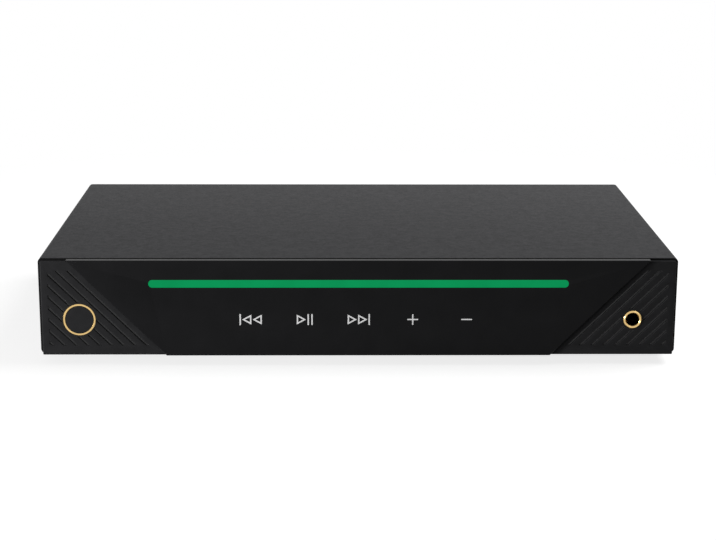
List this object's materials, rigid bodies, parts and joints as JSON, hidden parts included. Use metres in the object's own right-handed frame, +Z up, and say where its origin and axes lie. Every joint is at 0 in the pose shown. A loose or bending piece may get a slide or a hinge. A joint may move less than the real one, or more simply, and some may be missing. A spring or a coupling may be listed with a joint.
{
  "type": "network music streamer",
  "caption": "Flat black home-audio streamer: sloping-ended touch panel with a light bar, grooved corner panels, headphone socket, rear sockets and power rocker.",
  "frame": {"origin": "on the floor under the middle of the part's box, the plane that the feet stand on", "axes": "+X is right seen from the front, +Y is to the rear where the sockets are, +Z is up"},
  "size_m": [0.31, 0.1952, 0.0528],
  "materials": {
    "cover_paint": "fine textured black powder coat",
    "chassis_paint": "satin black paint",
    "screw_black": "black oxide",
    "foot_rubber": "matt black rubber",
    "screw_steel": "zinc-plated steel",
    "touch_gloss": "polished black acrylic",
    "light_green": "lit green diffuser",
    "carrier_plastic": "moulded black",
    "corner_plastic": "fine-grained black moulding",
    "gold_plate": "polished gold plate",
    "board_green": "green solder mask",
    "pad_foam": "conductive grey foam",
    "led_resin": "clear-capped white",
    "socket_black": "moulded black",
    "rocker_black": "polished black",
    "shutter_black": "moulded black",
    "button_black": "moulded black",
    "antenna_film": "amber film with copper",
    "nickel": "satin nickel plate",
    "contact_gold": "gold flash",
    "lamp_clear": "clear lamp windows",
    "tongue_white": "white",
    "ring_black": "black",
    "ring_white": "white",
    "ring_red": "red",
    "chip_black": "black epoxy",
    "module_blue": "blue solder mask",
    "pillar_brass": "plain brass",
    "plug_ivory": "ivory nylon",
    "ferrite": "dark ferrite and tape",
    "capacitor_sleeve": "dark blue sleeve",
    "sink_aluminium": "extruded",
    "mains_brown": "brown insulation",
    "dc_red": "red insulation",
    "phones_grey": "pale insulation",
    "ribbon_white": "white flat cable",
    "lead_black": "black jacket"
  },
  "bodies": {
    "case": {"top_cover": "cover_paint", "base_tray": "chassis_paint", "rear_panel": "chassis_paint", "cover_screws": "screw_black", "rear_panel_screws": "screw_black", "foot_front_left": "foot_rubber", "foot_front_right": "foot_rubber", "foot_rear_left": "foot_rubber", "foot_rear_right": "foot_rubber", "foot_screws": "screw_steel", "front_screws": "screw_steel", "board_screws": "screw_steel", "touch_panel": "touch_gloss", "light_bar": "light_green", "panel_carrier": "carrier_plastic", "left_corner_panel": "corner_plastic", "right_corner_panel": "corner_plastic", "trim_ring": "gold_plate", "headphone_bush": "gold_plate", "rca_shells": "gold_plate", "touch_board": "board_green", "headphone_board": "board_green", "main_board": "board_green", "psu_board": "board_green", "touch_pads": "pad_foam", "bar_leds": "led_resin", "headphone_jack": "socket_black", "mains_inlet": "socket_black", "switch_frame": "socket_black", "optical_socket": "socket_black", "rca_housings": "socket_black", "reset_switch": "socket_black", "wifi_antenna": "antenna_film", "mains_pins": "nickel", "switch_tabs": "nickel", "lan_socket": "nickel", "usb_socket": "nickel", "module_shield": "nickel", "lan_contacts": "contact_gold", "lan_lamps": "lamp_clear", "usb_tongue": "tongue_white", "coax_insulator": "ring_black", "left_insulator": "ring_white", "right_insulator": "ring_red", "main_board_chips": "chip_black", "network_module": "module_blue", "board_pillars": "pillar_brass", "board_connectors": "plug_ivory", "psu_transformer": "ferrite", "psu_capacitors": "capacitor_sleeve", "psu_heatsink": "sink_aluminium", "mains_harness": "mains_brown", "dc_harness": "dc_red", "headphone_harness": "phones_grey", "touch_ribbon": "ribbon_white", "antenna_lead": "lead_black"},
    "rocker": {"power_rocker": "rocker_black"},
    "shutter": {"optical_shutter": "shutter_black"},
    "reset": {"reset_button": "button_black"}
  },
  "joints": [
    {"name": "power_rocker_tilt", "type": "hinge", "parent": "case", "child": "rocker", "pos_m": [-0.096, 0.08765, 0.0274], "axis": [-1, 0, 0], "range_deg": [0, 18]},
    {"name": "optical_shutter_swing", "type": "hinge", "parent": "case", "child": "shutter", "pos_m": [0.01755, 0.08825, 0.02455], "axis": [-1, 0, 0], "range_deg": [0, 85], "stiffness_Nm_per_rad": 0.00002, "springref_deg": -10},
    {"name": "reset_button_press", "type": "slide", "parent": "case", "child": "reset", "axis": [0, -1, 0], "range_m": [0, 0.0008], "stiffness_N_per_m": 100, "springref_m": -0.002}
  ]
}
